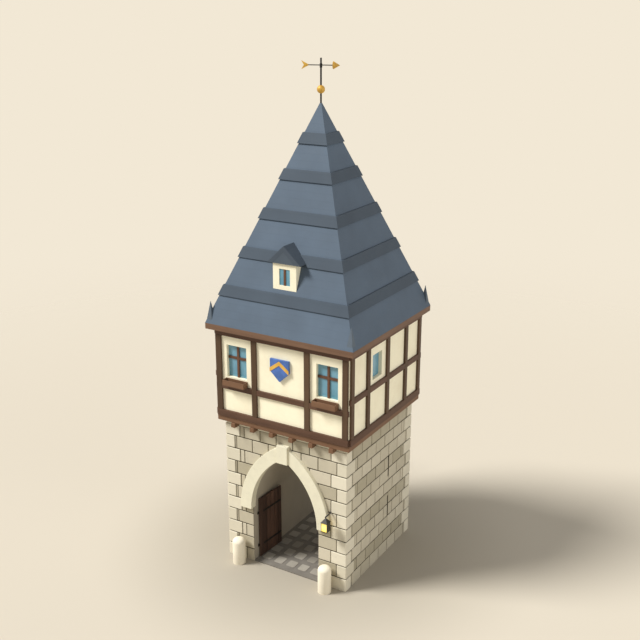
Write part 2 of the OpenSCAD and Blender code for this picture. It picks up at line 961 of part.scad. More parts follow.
front_stage_wall();
back_stage_wall();
left_stage_wall();
right_stage_wall();
passage_vault();
beam_filling();
arch_rings();
keystones();
passage_floor();
guard_stones();
left_gate_leaf();
left_gate_ironwork();
right_gate_leaf();
right_gate_ironwork();
gate_pintles();
lantern_bracket();
lantern_frame();
lantern_panes();
floor_joists();
jetty_beams();
upper_floor();
front_storey_wall();
back_storey_wall();
left_storey_wall();
right_storey_wall();
front_timbers();
back_timbers();
left_timbers();
right_timbers();
window_glass();
flower_boxes();
shield_plaque();
shield_chevron();
eaves_beams();
attic_floor();
front_roof_slope();
back_roof_slope();
left_roof_slope();
right_roof_slope();
slate_bands();
corner_spikes();
dormer_walls();
dormer_roof();
dormer_gable();
vane_rod();
vane_ball();
vane_arrow();
vane_gilding();
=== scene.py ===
"""The looks of the town gatehouse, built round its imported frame.

Lengths are in metres. +X runs along the front, the front faces -Y, +Z is up, and the
origin is on the ground at the middle of the plan. Walls, beams and roofs come from the
frame; the stones, boards, bars, bolts and cobbles that lie on them are made here.
"""

import logging
import math
import random
from collections.abc import Callable, Iterable, Mapping, Sequence
from dataclasses import dataclass, field, replace
from enum import Enum
from typing import Union

import bmesh
import bpy
from mathutils import Matrix, Vector


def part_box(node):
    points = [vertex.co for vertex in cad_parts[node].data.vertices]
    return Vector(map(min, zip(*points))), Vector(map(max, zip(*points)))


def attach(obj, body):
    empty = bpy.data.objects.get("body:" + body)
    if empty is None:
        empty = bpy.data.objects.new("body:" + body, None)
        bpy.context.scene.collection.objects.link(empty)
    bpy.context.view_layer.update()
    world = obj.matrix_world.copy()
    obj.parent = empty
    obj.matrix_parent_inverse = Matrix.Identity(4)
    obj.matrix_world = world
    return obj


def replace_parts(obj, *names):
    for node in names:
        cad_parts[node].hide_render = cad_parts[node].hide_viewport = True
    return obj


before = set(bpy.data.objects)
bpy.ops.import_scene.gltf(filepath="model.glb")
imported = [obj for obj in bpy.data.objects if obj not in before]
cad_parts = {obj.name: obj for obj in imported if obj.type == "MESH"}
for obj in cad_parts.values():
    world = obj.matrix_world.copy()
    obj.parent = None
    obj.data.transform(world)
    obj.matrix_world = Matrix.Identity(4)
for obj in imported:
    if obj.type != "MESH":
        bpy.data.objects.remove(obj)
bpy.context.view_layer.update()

ROOT = "gatehouse"
TINT = "tint"
LOG = logging.getLogger("gatehouse")
MERGE = 1e-5
FLAT = math.radians(0.4)
PLAIN_TINT = 0.5
ALONG_GRAIN = 0.055

Point = Sequence[float]
Pair = tuple[float, float]
Triple = tuple[float, float, float]
Verts = list[bmesh.types.BMVert]
Colour = tuple[float, float, float, float]
Feed = Union["Value", float, Sequence[float]]


def linear(code: str) -> Colour:
    """Turns a written colour into the linear one that the shaders use.

    Args:
        code: The colour as a hash and six hexadecimal digits.

    Returns:
        Red, green and blue as linear values, and an alpha of one.
    """
    parts = [int(code[i : i + 2], 16) / 255 for i in (1, 3, 5)]
    knee, slope, offset, power = 0.04045, 12.92, 0.055, 2.4
    red, green, blue = (
        p / slope if p <= knee else ((p + offset) / (1 + offset)) ** power for p in parts
    )
    return red, green, blue, 1.0


# ---- shader building


def math_node(operation: str) -> Callable[..., "Value"]:
    """Makes a method that adds one Math node.

    Args:
        operation: What the node does.

    Returns:
        The method, which takes a value and, where the node needs it, a second operand.
    """

    def method(first: "Value", second: Feed = 0.0) -> "Value":
        """Works on a value and another operand."""
        return first.graph.math(operation, first, second)

    return method


class Value:
    """A shader socket that takes part in Python arithmetic."""

    __add__ = __radd__ = math_node("ADD")
    __mul__ = math_node("MULTIPLY")
    __sub__ = math_node("SUBTRACT")
    __truediv__ = math_node("DIVIDE")
    __gt__ = math_node("GREATER_THAN")
    __lt__ = math_node("LESS_THAN")
    __abs__ = math_node("ABSOLUTE")
    most = math_node("MAXIMUM")
    pingpong = math_node("PINGPONG")
    floor = math_node("FLOOR")
    fraction = math_node("FRACT")

    def __init__(self, graph: "Graph", socket: bpy.types.NodeSocket) -> None:
        """Wraps one output socket of a graph."""
        self.graph = graph
        self.socket = socket

    def __rsub__(self, other: Feed) -> "Value":
        """Takes this value from another."""
        return self.graph.math("SUBTRACT", other, self)

    def swing(self, reach: float) -> "Value":
        """Swings about nought as noise does about one half."""
        return (self - 0.5) * reach

    def sibling(self, output: int | str) -> "Value":
        """Gives another output of the same node."""
        return Value(self.graph, self.socket.node.outputs[output])

    def ramp(self, low: float, high: float, start: float = 0.0, end: float = 1.0) -> "Value":
        """Turns a stretch of this value into a smooth step.

        Args:
            low: The value at which the step begins.
            high: The value at which the step ends.
            start: The result below the step.
            end: The result above the step.

        Returns:
            The stepped value.
        """
        settings = {"interpolation_type": "SMOOTHSTEP"}
        sockets = {"Value": self, 1: low, 2: high, 3: start, 4: end}
        return self.graph.node("ShaderNodeMapRange", settings, sockets)


class Graph:
    """The node tree of a material or a world, in which one method makes every node."""

    def __init__(self, owner: bpy.types.Material | bpy.types.World) -> None:
        """Starts an empty tree.

        Args:
            owner: The material or world that the tree belongs to.
        """
        owner.use_nodes = True
        self.owner = owner
        self.tree = owner.node_tree
        self.tree.nodes.clear()
        self._place: Value | None = None

    def node(
        self,
        kind: str,
        settings: Mapping | None = None,
        sockets: Mapping | None = None,
        output: int | str = 0,
    ) -> Value | None:
        """Adds a node.

        Args:
            kind: The node's type.
            settings: Its own settings, which are set first.
            sockets: What its inputs hold, by name or number.
            output: The wanted output, by name or number.

        Returns:
            That output, ready for arithmetic, or none for a node without outputs.
        """
        made = self.tree.nodes.new(kind)
        for key, setting in (settings or {}).items():
            setattr(made, key, setting)
        for key, content in (sockets or {}).items():
            if isinstance(content, Value):
                self.tree.links.new(content.socket, made.inputs[key])
            else:
                made.inputs[key].default_value = content
        return Value(self, made.outputs[output]) if len(made.outputs) else None

    def math(self, operation: str, first: Feed, second: Feed) -> Value:
        """Adds a Math node that works on two operands."""
        return self.node("ShaderNodeMath", {"operation": operation}, {0: first, 1: second})

    @property
    def place(self) -> Value:
        """The point of the surface in the building's frame.

        Returns:
            The point, from a node that is made once.
        """
        if self._place is None:
            self._place = self.node("ShaderNodeTexCoord", output="Object")
        return self._place

    @property
    def axes(self) -> tuple[Value, Value, Value]:
        """The point's three coordinates."""
        x = self.node("ShaderNodeSeparateXYZ", sockets={0: self.place})
        return x, x.sibling(1), x.sibling(2)

    def point(self, x: Feed, y: Feed, z: Feed) -> Value:
        """Joins three coordinates into a point."""
        return self.node("ShaderNodeCombineXYZ", sockets={0: x, 1: y, 2: z})

    def scaled(self, factors: Point) -> Value:
        """Stretches the surface's point along each axis."""
        sockets = {0: self.place, 1: factors}
        return self.node("ShaderNodeVectorMath", {"operation": "MULTIPLY"}, sockets)

    def noise(
        self,
        scale: float,
        detail: float = 3.0,
        roughness: float = 0.55,
        where: Value | None = None,
    ) -> Value:
        """Gives smooth noise.

        Args:
            scale: How many waves it has to the metre.
            detail: How many finer layers it has.
            roughness: How strong the finer layers are.
            where: The point at which it is read, or none for the surface's own.

        Returns:
            The noise, about one half.
        """
        sockets = {"Vector": where or self.place, "Scale": scale}
        sockets |= {"Detail": detail, "Roughness": roughness}
        return self.node("ShaderNodeTexNoise", sockets=sockets)

    def mix(self, first: Feed, second: Feed, share: Feed) -> Value:
        """Mixes two colours.

        Args:
            first: The colour where the share is nought.
            second: The colour where the share is one.
            share: How much of the second is taken.

        Returns:
            The mixed colour.
        """
        sockets = {0: share, 6: first, 7: second}
        return self.node("ShaderNodeMix", {"data_type": "RGBA"}, sockets, 2)

    def shade(self, colour: Feed, factor: Value) -> Value:
        """Makes a colour lighter or darker by a factor."""
        sockets = {0: colour if isinstance(colour, Value) else colour[:3], "Scale": factor}
        return self.node("ShaderNodeVectorMath", {"operation": "SCALE"}, sockets)

    def bump(self, height: Value, depth: float, strength: float) -> Value:
        """Turns a height into a surface relief.

        Args:
            height: The height, between nought and one.
            depth: How deep the relief is, in metres.
            strength: How strongly it shows.

        Returns:
            The normal.
        """
        sockets = {"Height": height, "Distance": depth, "Strength": strength}
        return self.node("ShaderNodeBump", sockets=sockets)

    def tint(self) -> Value:
        """The shade number that each stone or board carries."""
        return self.node("ShaderNodeAttribute", {"attribute_name": TINT}, output="Fac")

    def surface(
        self, colour: Feed, roughness: Feed, normal: Value | None = None, **sockets: Feed
    ) -> None:
        """Finishes the tree with its shader.

        Args:
            colour: The base colour.
            roughness: How matt the surface is.
            normal: The relief, if there is one.
            **sockets: Other inputs of the shader, with _ for a space.
        """
        feeds: dict[str, Feed] = {"Base Color": colour, "Roughness": roughness}
        if normal is not None:
            feeds["Normal"] = normal
        feeds.update({key.replace("_", " "): content for key, content in sockets.items()})
        shader = self.node("ShaderNodeBsdfPrincipled", sockets=feeds)
        self.node("ShaderNodeOutputMaterial", sockets={"Surface": shader})


# ---- finishes


class Grain(Enum):
    """The way that a board's grain runs, by how it draws the pattern out."""

    UPRIGHT = (1.0, 1.0, ALONG_GRAIN)
    ACROSS = (ALONG_GRAIN, 1.0, 1.0)
    DEEP = (1.0, ALONG_GRAIN, 1.0)
    ROUND = None


@dataclass(frozen=True)
class Look:
    """A material's name and the two colours that it lies between."""

    name: str
    dark: str
    light: str

    @property
    def material(self) -> bpy.types.Material:
        """The material.

        Returns:
            The material, which is drawn the first time that it is asked for.
        """
        if self.name not in bpy.data.materials:
            self.draw(Graph(bpy.data.materials.new(self.name)))
        return bpy.data.materials[self.name]

    def draw(self, g: Graph) -> None:
        """Draws the surface, which each kind of finish does in its own way."""
        raise NotImplementedError

    def mixed(self, g: Graph, share: Feed) -> Value:
        """Mixes the two colours, with the light one where the share is one."""
        return g.mix(linear(self.dark), linear(self.light), share)


@dataclass(frozen=True)
class Stone(Look):
    """Matt stone, each block in its own shade."""

    mottle: float = 0.09
    relief: float = 0.004
    tinted: bool = True

    def draw(self, g: Graph) -> None:
        """Draws the surface.

        Args:
            g: The material's graph.
        """
        cloud = g.noise(scale=2.6)
        grit = g.noise(scale=38.0, detail=4.0, roughness=0.65)
        pits = g.noise(scale=11.0, roughness=0.6)
        base = self.mixed(g, g.tint() if self.tinted else cloud)
        tone = 1.0 + cloud.swing(2 * self.mottle) + grit.swing(self.mottle)
        stain = pits.ramp(0.58, 0.75, end=0.10)
        normal = g.bump(pits * 0.6 + grit * 0.4, self.relief, strength=0.7)
        g.surface(g.shade(base, tone - stain), 0.86 + grit.swing(0.16), normal)


@dataclass(frozen=True)
class Masonry(Look):
    """The wall behind the stones: dark mortar outside and light render in the passage.

    The render reaches half_width and half_depth from the middle of the plan.
    """

    half_width: float = 1.412
    half_depth: float = 2.496

    def draw(self, g: Graph) -> None:
        """Draws the surface.

        Args:
            g: The material's graph.
        """
        x, y, _ = g.axes
        within = (abs(x) < self.half_width) * (abs(y) < self.half_depth)
        cloud = g.noise(scale=1.7, detail=4.0)
        grit = g.noise(scale=45.0, roughness=0.6)
        render = g.shade(linear(self.light), 1.0 + cloud.swing(0.22) + grit.swing(0.06))
        mortar = g.shade(linear(self.dark), 1.0 + grit.swing(0.5))
        normal = g.bump(cloud * 0.5 + grit * 0.5, depth=0.004, strength=0.5)
        g.surface(g.mix(mortar, render, within), 0.9 + grit.swing(0.1), normal)


class Plaster(Look):
    """Hand-trowelled lime plaster."""

    def draw(self, g: Graph) -> None:
        """Draws the surface.

        Args:
            g: The material's graph.
        """
        cloud = g.noise(scale=1.1, detail=4.0, roughness=0.6)
        strokes = g.noise(scale=6.5, roughness=0.5, where=g.scaled((1.0, 1.0, 2.2)))
        grit = g.noise(scale=70.0, detail=2.0)
        tone = 1.0 + strokes.swing(0.05) + grit.swing(0.03)
        toned = g.shade(self.mixed(g, cloud.ramp(0.25, 0.6)), tone)
        normal = g.bump(strokes * 0.75 + grit * 0.25, depth=0.006, strength=0.5)
        g.surface(toned, 0.88 + cloud.swing(0.1), normal)


@dataclass(frozen=True)
class Timber(Look):
    """Oiled timber with streaks and fine checks along its grain."""

    grain: Grain
    streak: float = 1.0
    gloss: float = 0.6

    def _along(self, g: Graph) -> Value:
        """Draws the surface's point out along the grain.

        Args:
            g: The material's graph.

        Returns:
            The point, in which the axis along the grain counts for little.
        """
        if self.grain is not Grain.ROUND:
            return g.scaled(self.grain.value)
        x, y, z = g.axes
        front = abs(y) > abs(x)
        back = 1.0 - front
        return g.point((x * front + y * back) * ALONG_GRAIN, y * front + x * back, z)

    def draw(self, g: Graph) -> None:
        """Draws the surface.

        Args:
            g: The material's graph.
        """
        along = self._along(g)
        broad = g.noise(scale=7.0, roughness=0.5, where=along)
        fine = g.noise(scale=42.0, roughness=0.6, where=along)
        cloud = g.noise(scale=1.3, detail=2.0)
        share = g.tint() * 0.45 + broad * 0.4 + cloud * 0.15
        checks = fine.ramp(0.60, 0.72, end=0.28 * self.streak)
        tone = 1.0 + fine.swing(0.25 * self.streak) - checks
        toned = g.shade(self.mixed(g, share.ramp(0.2, 0.8)), tone)
        normal = g.bump(1.0 - checks * 2.0 + broad * 0.5, depth=0.004, strength=0.6)
        g.surface(toned, self.gloss + fine.swing(0.2), normal, Specular_IOR_Level=0.35)


@dataclass(frozen=True)
class Slate(Look):
    """Blue-grey slates in faint level courses with broken joints."""

    course: float = 0.24
    width: float = 0.32
    show: float = 0.4

    def draw(self, g: Graph) -> None:
        """Draws the surface.

        Args:
            g: The material's graph.
        """
        x, y, z = g.axes
        front = abs(y) > abs(x)
        along = x * front + y * (1.0 - front)
        level = z / self.course
        row, lift = level.floor(), level.fraction()
        step = along / self.width + row * 0.5
        each = g.noise(scale=1.0, detail=0.0, where=g.point(step.floor() * 3.7, row * 5.3, 0.5))
        cloud = g.noise(scale=0.55)
        grit = g.noise(scale=26.0, where=g.scaled((1.0, 1.0, 0.35)))
        share = 0.5 + cloud.swing(0.9) + each.swing(0.35 * self.show)
        bed = lift.ramp(0.0, 0.07, 1.0, 0.0)
        joint = step.fraction().pingpong(0.5).ramp(0.0, 0.02, 1.0, 0.0)
        line = bed * 0.07 + joint * 0.035
        tone = 1.0 + grit.swing(0.05) - line * self.show
        toned = g.shade(self.mixed(g, share.ramp(0.15, 0.85)), tone)
        rough = 0.66 + grit.swing(0.15) + each.swing(0.1)
        height = lift * (-0.75) + (1.0 - joint) * 0.1 + grit * 0.15
        normal = g.bump(height, depth=0.006 * self.show, strength=0.5)
        g.surface(toned, rough, normal, Specular_IOR_Level=0.35)


@dataclass(frozen=True)
class Metal(Look):
    """Worked or gilded metal with worn, uneven patches."""

    metallic: float
    roughness: float

    def draw(self, g: Graph) -> None:
        """Draws the surface.

        Args:
            g: The material's graph.
        """
        cloud = g.noise(scale=9.0)
        grit = g.noise(scale=60.0, roughness=0.6)
        colour = self.mixed(g, (cloud * 0.6 + grit * 0.4).ramp(0.3, 0.7))
        normal = g.bump(grit, depth=0.002, strength=0.6)
        g.surface(colour, self.roughness + grit.swing(0.25), normal, Metallic=self.metallic)


class Paint(Look):
    """Satin paint with faint brush marks."""

    def draw(self, g: Graph) -> None:
        """Draws the surface.

        Args:
            g: The material's graph.
        """
        cloud = g.noise(scale=3.5)
        brush = g.noise(scale=55.0, detail=2.0, where=g.scaled((1.0, 1.0, 0.12)))
        toned = g.shade(self.mixed(g, cloud.ramp(0.3, 0.7)), 1.0 + brush.swing(0.08))
        g.surface(toned, 0.5 + brush.swing(0.15), g.bump(brush, depth=0.001, strength=0.5))


class Glass(Look):
    """Old window glass: tinted, glossy and slightly wavy, with a slow change of shade."""

    def draw(self, g: Graph) -> None:
        """Draws the surface.

        Args:
            g: The material's graph.
        """
        _, _, z = g.axes
        wave = g.noise(scale=3.2, detail=2.0, where=g.scaled((1.0, 1.0, 0.6)))
        ripple = g.noise(scale=14.0, detail=1.0)
        level = (z * 0.55).fraction().pingpong(0.5)
        colour = self.mixed(g, (wave * 0.8 + level * 0.4).ramp(0.25, 0.75))
        normal = g.bump(wave * 0.6 + ripple * 0.4, depth=0.003, strength=0.35)
        g.surface(colour, 0.12 + ripple * 0.06, normal, Coat_Weight=0.25)


@dataclass(frozen=True)
class LampGlass(Look):
    """A yellow pane with a painted glow, lit by no lamp and lightest at its middle."""

    level: float
    glow: float

    def draw(self, g: Graph) -> None:
        """Draws the surface.

        Args:
            g: The material's graph.
        """
        _, _, z = g.axes
        # Painted glow: the pane is lightest near the given level, in place of a flame's light.
        painted_glow = abs(z - self.level).ramp(0.0, 0.2, 1.0, 0.0)
        flaw = g.noise(scale=22.0, detail=2.0)
        colour = self.mixed(g, painted_glow * 0.85 + flaw * 0.15)
        rough = 0.25 + flaw * 0.1
        g.surface(colour, rough, Emission_Color=colour, Emission_Strength=self.glow)


class Finish(Enum):
    """The finishes of the gatehouse, each made once."""

    MASONRY = Masonry("wall_mortar_and_render", "#423a26", "#ada493")
    RENDER = Masonry("passage_render", "#ada493", "#ada493")
    BLOCKS = Stone("coursed_blocks", "#9d947b", "#d4cbb6")
    QUOINS = Stone("quoin_stone", "#cbc3ad", "#e0d8c3", mottle=0.06)
    DRESSED = Stone("arch_stone", "#ddd7bf", "#e8e2c9", mottle=0.05, relief=0.003, tinted=False)
    GUARDS = Stone("guard_stone", "#ece3cd", "#f6edd7", mottle=0.05, relief=0.003, tinted=False)
    COBBLES = Stone("cobble_stone", "#8d877c", "#a8a296", mottle=0.12, relief=0.006)
    PAVING = Stone("paving_bed", "#726c64", "#837e75", mottle=0.10, relief=0.006, tinted=False)
    PLASTER = Plaster("lime_plaster", "#f3e9cb", "#fbf3d6")
    POSTS = Timber("frame_oak_upright", "#43301f", "#624a35", Grain.UPRIGHT)
    RAILS = Timber("frame_oak_level", "#4a3224", "#6a4c3a", Grain.ROUND)
    BEAMS = Timber("jetty_oak", "#674934", "#846248", Grain.ROUND, streak=0.8)
    JOISTS = Timber("joist_oak", "#674934", "#846248", Grain.DEEP, streak=0.8)
    EAVES = Timber("eaves_oak", "#654a38", "#80624c", Grain.ROUND, streak=0.6)
    BOXES = Timber("flower_box_oak", "#674934", "#846248", Grain.ACROSS, streak=0.8)
    BARS = Timber("window_bar_oak", "#573b2b", "#74503a", Grain.UPRIGHT, streak=0.6)
    PLANKS = Timber("gate_planks", "#3f2d24", "#775949", Grain.UPRIGHT, streak=1.6)
    # Painted shade: near black, for the shade seen in the gaps between the gate's planks.
    GAP_SHADE = Timber("gate_gap_shade", "#1d1511", "#2b201a", Grain.UPRIGHT)
    FLOORS = Timber("floor_boards", "#6e543c", "#8d6f52", Grain.ACROSS)
    IRON = Metal("wrought_iron", "#201d1a", "#39342f", metallic=0.55, roughness=0.55)
    LANTERN_IRON = Metal("lantern_iron", "#2c2a28", "#403d3a", metallic=0.4, roughness=0.55)
    ROD_IRON = Metal("vane_iron", "#14110c", "#221e18", metallic=0.1, roughness=0.7)
    GILDING = Metal("gold_leaf", "#ca9738", "#e8ba52", metallic=0.25, roughness=0.5)
    GOLD_PAINT = Paint("gold_paint", "#d39f3a", "#e5b451")
    BLUE_PAINT = Paint("blue_paint", "#41639f", "#4f74bb")
    WINDOWS = Glass("pane_glass", "#5d91a5", "#75a5b9")
    # The lantern's panes glow with painted light; no lamp hangs inside.
    LAMP = LampGlass("lamp_glass", "#ffdf62", "#ffee92", level=2.67, glow=0.35)
    SLATES = Slate("roof_slates", "#4f5c6a", "#5a6979")
    BANDS = Slate("band_slates", "#3f4954", "#485460", course=0.33, width=0.5, show=0.3)
    SPIKES = Slate("spike_slates", "#535d67", "#606b76", course=0.2, width=0.3, show=0.3)
    GABLE = Slate("gable_slates", "#48525b", "#545e69", course=0.2, width=0.3, show=0.4)
    DORMER = Slate("dormer_slates", "#434c56", "#4e5863", course=0.2, width=0.3, show=0.4)

    @property
    def material(self) -> bpy.types.Material:
        """The finish's material."""
        return self.value.material


# ---- shaping


class Side(Enum):
    """A side of the building, by its turn from the front in degrees."""

    FRONT = 0
    RIGHT = 90
    BACK = 180
    LEFT = 270

    @property
    def turn(self) -> Matrix:
        """The turn that carries a piece from the front to this side."""
        return Matrix.Rotation(math.radians(self.value), 4, "Z")

    @property
    def on_road(self) -> bool:
        """Whether the passage opens on this side."""
        return self in (Side.FRONT, Side.BACK)

    def part(self, name: str) -> str:
        """The name of a part of this side."""
        return f"{self.name.lower()}_{name}"


def add(name: str, data: bpy.types.ID) -> bpy.types.Object:
    """Adds an object that stands at the origin.

    Args:
        name: Its name.
        data: Its mesh, light or camera.

    Returns:
        The object.
    """
    made = bpy.data.objects.new(name, data)
    bpy.context.scene.collection.objects.link(made)
    return made


class Form:
    """A mesh that is shaped with bmesh operators, in the building's frame."""

    def __init__(self) -> None:
        """Starts with nothing."""
        self.mesh = bmesh.new()
        self.tint = self.mesh.faces.layers.float.new(TINT)

    @classmethod
    def of_node(cls, node: str) -> "Form":
        """Starts from a merged copy of a CAD node.

        Args:
            node: The node's name.

        Returns:
            The copy, with its flat faces whole again.
        """
        form = cls()
        mesh = form.mesh
        mesh.from_mesh(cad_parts[node].data)
        form.tint = mesh.faces.layers.float.get(TINT) or mesh.faces.layers.float.new(TINT)
        bmesh.ops.remove_doubles(mesh, verts=mesh.verts, dist=2 * MERGE)
        bmesh.ops.dissolve_limit(mesh, angle_limit=FLAT, verts=mesh.verts, edges=mesh.edges)
        for face in mesh.faces:
            face[form.tint] = PLAIN_TINT
            face.material_index = 0
        return form

    def box(self, low: Point, high: Point, tint: float = PLAIN_TINT) -> Verts:
        """Adds a box.

        Args:
            low: Its lowest corner.
            high: Its highest corner.
            tint: Its shade number.

        Returns:
            Its corners.
        """
        first, last = Vector(low), Vector(high)
        place = Matrix.LocRotScale((first + last) / 2, None, last - first)
        made = bmesh.ops.create_cube(self.mesh, size=1.0, matrix=place)["verts"]
        for face in {face for vert in made for face in vert.link_faces}:
            face[self.tint] = tint
        return made

    def soften(self, edges: Iterable[bmesh.types.BMEdge], width: float, segments: int) -> None:
        """Rounds some edges.

        Args:
            edges: The edges.
            width: How far the rounding reaches from an edge.
            segments: How many flats it has.
        """
        bmesh.ops.bevel(
            self.mesh, geom=list(edges), offset=width, offset_type="OFFSET", segments=segments,
            profile=0.5, affect="EDGES", clamp_overlap=True, material=-1,
        )

    def ease(self, width: float, segments: int = 2, over: float = 25.0) -> "Form":
        """Rounds the sharp edges.

        Args:
            width: How far the rounding reaches from an edge.
            segments: How many flats it has.
            over: The least angle of an edge that is rounded, in degrees.

        Returns:
            The form itself.
        """
        limit = math.radians(over)
        sharp = [e for e in self.mesh.edges if e.is_manifold and e.calc_face_angle() > limit]
        self.soften(sharp, width, segments)
        return self

    def move(self, change: Matrix, verts: Verts | None = None) -> "Form":
        """Turns, moves or mirrors the form.

        Args:
            change: The turn, move or mirror.
            verts: The corners that it acts on, or none for all of them.

        Returns:
            The form itself.
        """
        chosen = self.mesh.verts[:] if verts is None else verts
        bmesh.ops.transform(self.mesh, matrix=change, verts=chosen)
        if change.determinant() < 0:
            mirrored = {face for vert in chosen for face in vert.link_faces}
            bmesh.ops.reverse_faces(self.mesh, faces=list(mirrored))
        return self

    def piece(
        self, name: str, finish: Finish, slot: str, body: str = ROOT, smooth: float = 0.0
    ) -> bpy.types.Object:
        """Makes the form a finished piece that rides on a body.

        Args:
            name: The piece's name.
            finish: Its finish.
            slot: The record's slot that the finish belongs to; it is not used.
            body: The body that it moves with.
            smooth: The greatest angle that is shaded smooth, in degrees; nought for flat.

        Returns:
            The new object.
        """
        data = bpy.data.meshes.new(name)
        self.mesh.to_mesh(data)
        self.mesh.free()
        data.materials.clear()
        data.materials.append(finish.material)
        if smooth:
            data.shade_smooth()
            data.set_sharp_from_angle(angle=math.radians(smooth))
        else:
            data.shade_flat()
        made = add(name, data)
        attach(made, body)
        LOG.info("%s: %d faces", name, len(data.polygons))
        return made


def dress(finish: Finish, *nodes: str) -> None:
    """Gives CAD nodes a finish.

    Args:
        finish: The finish.
        *nodes: The names of the nodes.
    """
    for node in nodes:
        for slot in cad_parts[node].material_slots:
            slot.material = finish.material
        LOG.info("%s: %s", node, finish.name.lower())


def eased(
    node: str, finish: Finish, slot: str, width: float, body: str = ROOT, smooth: float = 0.0
) -> None:
    """Stands a copy with softened edges in for a CAD node.

    Args:
        node: The node's name.
        finish: Its finish.
        slot: The record's slot that the finish belongs to.
        width: How far the softening reaches from an edge.
        body: The body that it moves with.
        smooth: The greatest angle that is shaded smooth, in degrees; nought for flat.
    """
    form = Form.of_node(node).ease(width)
    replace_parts(form.piece(f"{node}_eased", finish, slot, body, smooth), node)


def put_in_order(data: bpy.types.Mesh) -> None:
    """Sorts a mesh's corners and faces by place, as cuts and roundings leave any order.

    Args:
        data: The mesh.
    """
    mesh = bmesh.new()
    mesh.from_mesh(data)
    corners = sorted(mesh.verts, key=lambda vert: vert.co[:])
    mesh.verts.sort(key={vert: rank for rank, vert in enumerate(corners)}.get)
    faces = sorted(mesh.faces, key=lambda face: face.calc_center_median()[:])
    mesh.faces.sort(key={face: rank for rank, face in enumerate(faces)}.get)
    mesh.to_mesh(data)
    mesh.free()


def carve(target: bpy.types.Object, cutter: Form) -> None:
    """Cuts one form out of a piece, and leaves no modifier behind.

    Args:
        target: The piece.
        cutter: The form that is taken away.
    """
    data = bpy.data.meshes.new("cutter")
    cutter.mesh.to_mesh(data)
    cutter.mesh.free()
    tool = add("cutter", data)
    change = target.modifiers.new("cut", "BOOLEAN")
    change.operation, change.solver, change.object = "DIFFERENCE", "EXACT", tool
    ready = target.evaluated_get(bpy.context.evaluated_depsgraph_get())
    result = bpy.data.meshes.new_from_object(ready)
    target.modifiers.clear()
    old, target.data = target.data, result
    result.name = target.name
    put_in_order(result)
    bpy.data.objects.remove(tool)
    bpy.data.meshes.remove(data)
    bpy.data.meshes.remove(old)


# ---- stone stage


